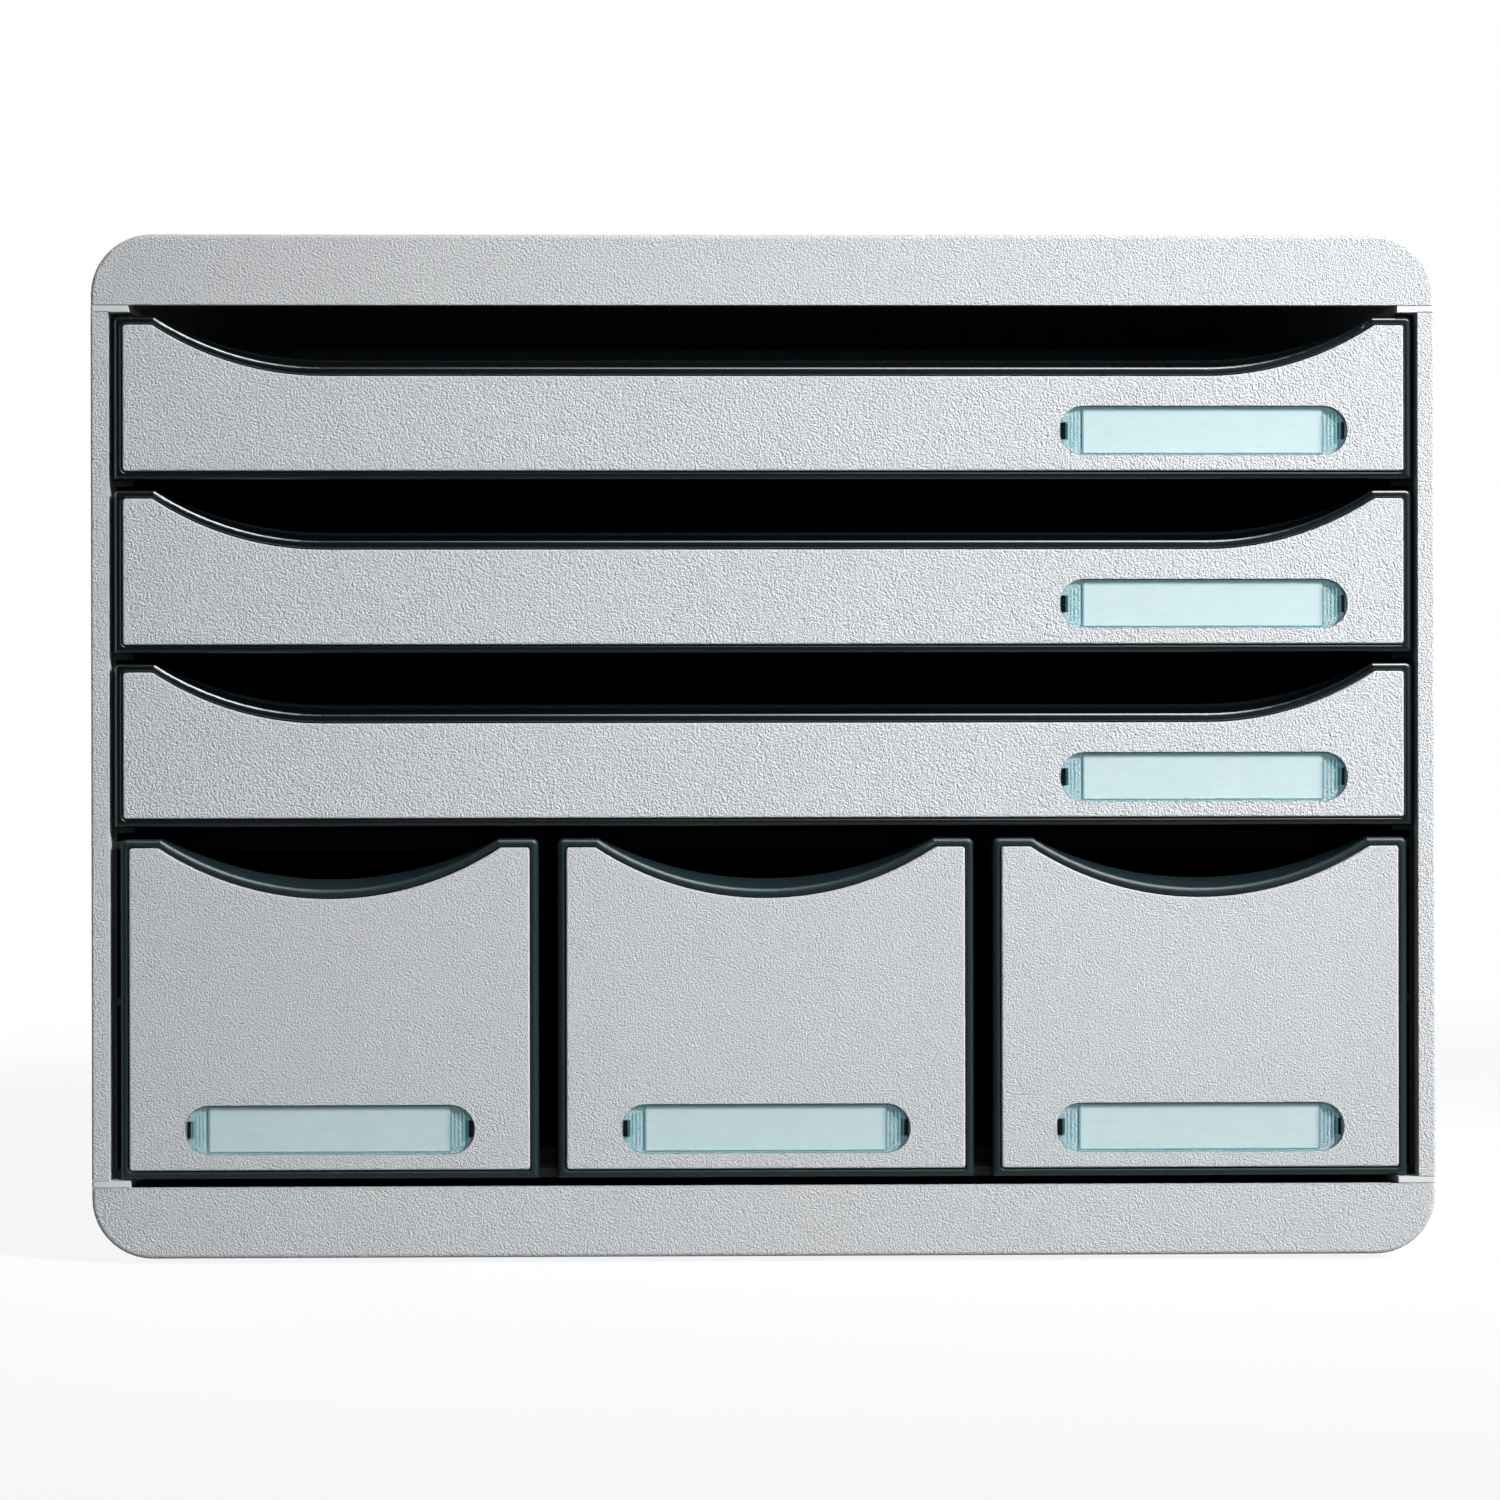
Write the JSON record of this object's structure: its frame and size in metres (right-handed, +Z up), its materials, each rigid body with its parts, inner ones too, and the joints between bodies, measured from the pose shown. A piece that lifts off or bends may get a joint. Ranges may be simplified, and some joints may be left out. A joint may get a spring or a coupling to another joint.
{
  "type": "desk drawer unit",
  "caption": "Desk drawer unit with wide A4 drawers above a row of small drawers, scooped pulls and label windows.",
  "frame": {"origin": "on the desk, under the middle of the unit, in the plane of the feet", "axes": "+X to the right as seen from the front, +Y from front to back, +Z up; the drawers pull out along -Y"},
  "size_m": [0.355, 0.27, 0.271],
  "materials": {
    "light_grey_plastic": "light grey polystyrene with a fine pebbled grain",
    "dark_plastic": "dark slate polystyrene, satin",
    "clear_plastic": "clear, slightly blue-green polystyrene",
    "paper": "white label card",
    "rubber": "soft black rubber"
  },
  "bodies": {
    "casing": {"top_cover": "light_grey_plastic", "base": "light_grey_plastic", "left_side_panel": "light_grey_plastic", "right_side_panel": "light_grey_plastic", "back_panel": "dark_plastic", "left_runner_panel": "dark_plastic", "right_runner_panel": "dark_plastic", "bay_floor": "dark_plastic", "bay_shelf": "dark_plastic", "feet": "rubber"},
    "lower_drawer": {"lower_drawer_tray": "dark_plastic", "lower_drawer_front_panel": "light_grey_plastic", "lower_drawer_label_window": "clear_plastic", "lower_drawer_label_card": "paper"},
    "middle_drawer": {"middle_drawer_tray": "dark_plastic", "middle_drawer_front_panel": "light_grey_plastic", "middle_drawer_label_window": "clear_plastic", "middle_drawer_label_card": "paper"},
    "top_drawer": {"top_drawer_tray": "dark_plastic", "top_drawer_front_panel": "light_grey_plastic", "top_drawer_label_window": "clear_plastic", "top_drawer_label_card": "paper"},
    "left_small_drawer": {"left_small_drawer_tray": "dark_plastic", "left_small_drawer_front_panel": "light_grey_plastic", "left_small_drawer_label_window": "clear_plastic", "left_small_drawer_label_card": "paper"},
    "centre_small_drawer": {"centre_small_drawer_tray": "dark_plastic", "centre_small_drawer_front_panel": "light_grey_plastic", "centre_small_drawer_label_window": "clear_plastic", "centre_small_drawer_label_card": "paper"},
    "right_small_drawer": {"right_small_drawer_tray": "dark_plastic", "right_small_drawer_front_panel": "light_grey_plastic", "right_small_drawer_label_window": "clear_plastic", "right_small_drawer_label_card": "paper"}
  },
  "joints": [
    {"name": "lower_drawer_slide", "type": "slide", "parent": "casing", "child": "lower_drawer", "axis": [0, -1, 0], "range_m": [0, 0.185]},
    {"name": "middle_drawer_slide", "type": "slide", "parent": "casing", "child": "middle_drawer", "axis": [0, -1, 0], "range_m": [0, 0.185]},
    {"name": "top_drawer_slide", "type": "slide", "parent": "casing", "child": "top_drawer", "axis": [0, -1, 0], "range_m": [0, 0.185]},
    {"name": "left_small_drawer_slide", "type": "slide", "parent": "casing", "child": "left_small_drawer", "axis": [0, -1, 0], "range_m": [0, 0.185]},
    {"name": "centre_small_drawer_slide", "type": "slide", "parent": "casing", "child": "centre_small_drawer", "axis": [0, -1, 0], "range_m": [0, 0.185]},
    {"name": "right_small_drawer_slide", "type": "slide", "parent": "casing", "child": "right_small_drawer", "axis": [0, -1, 0], "range_m": [0, 0.185]}
  ]
}
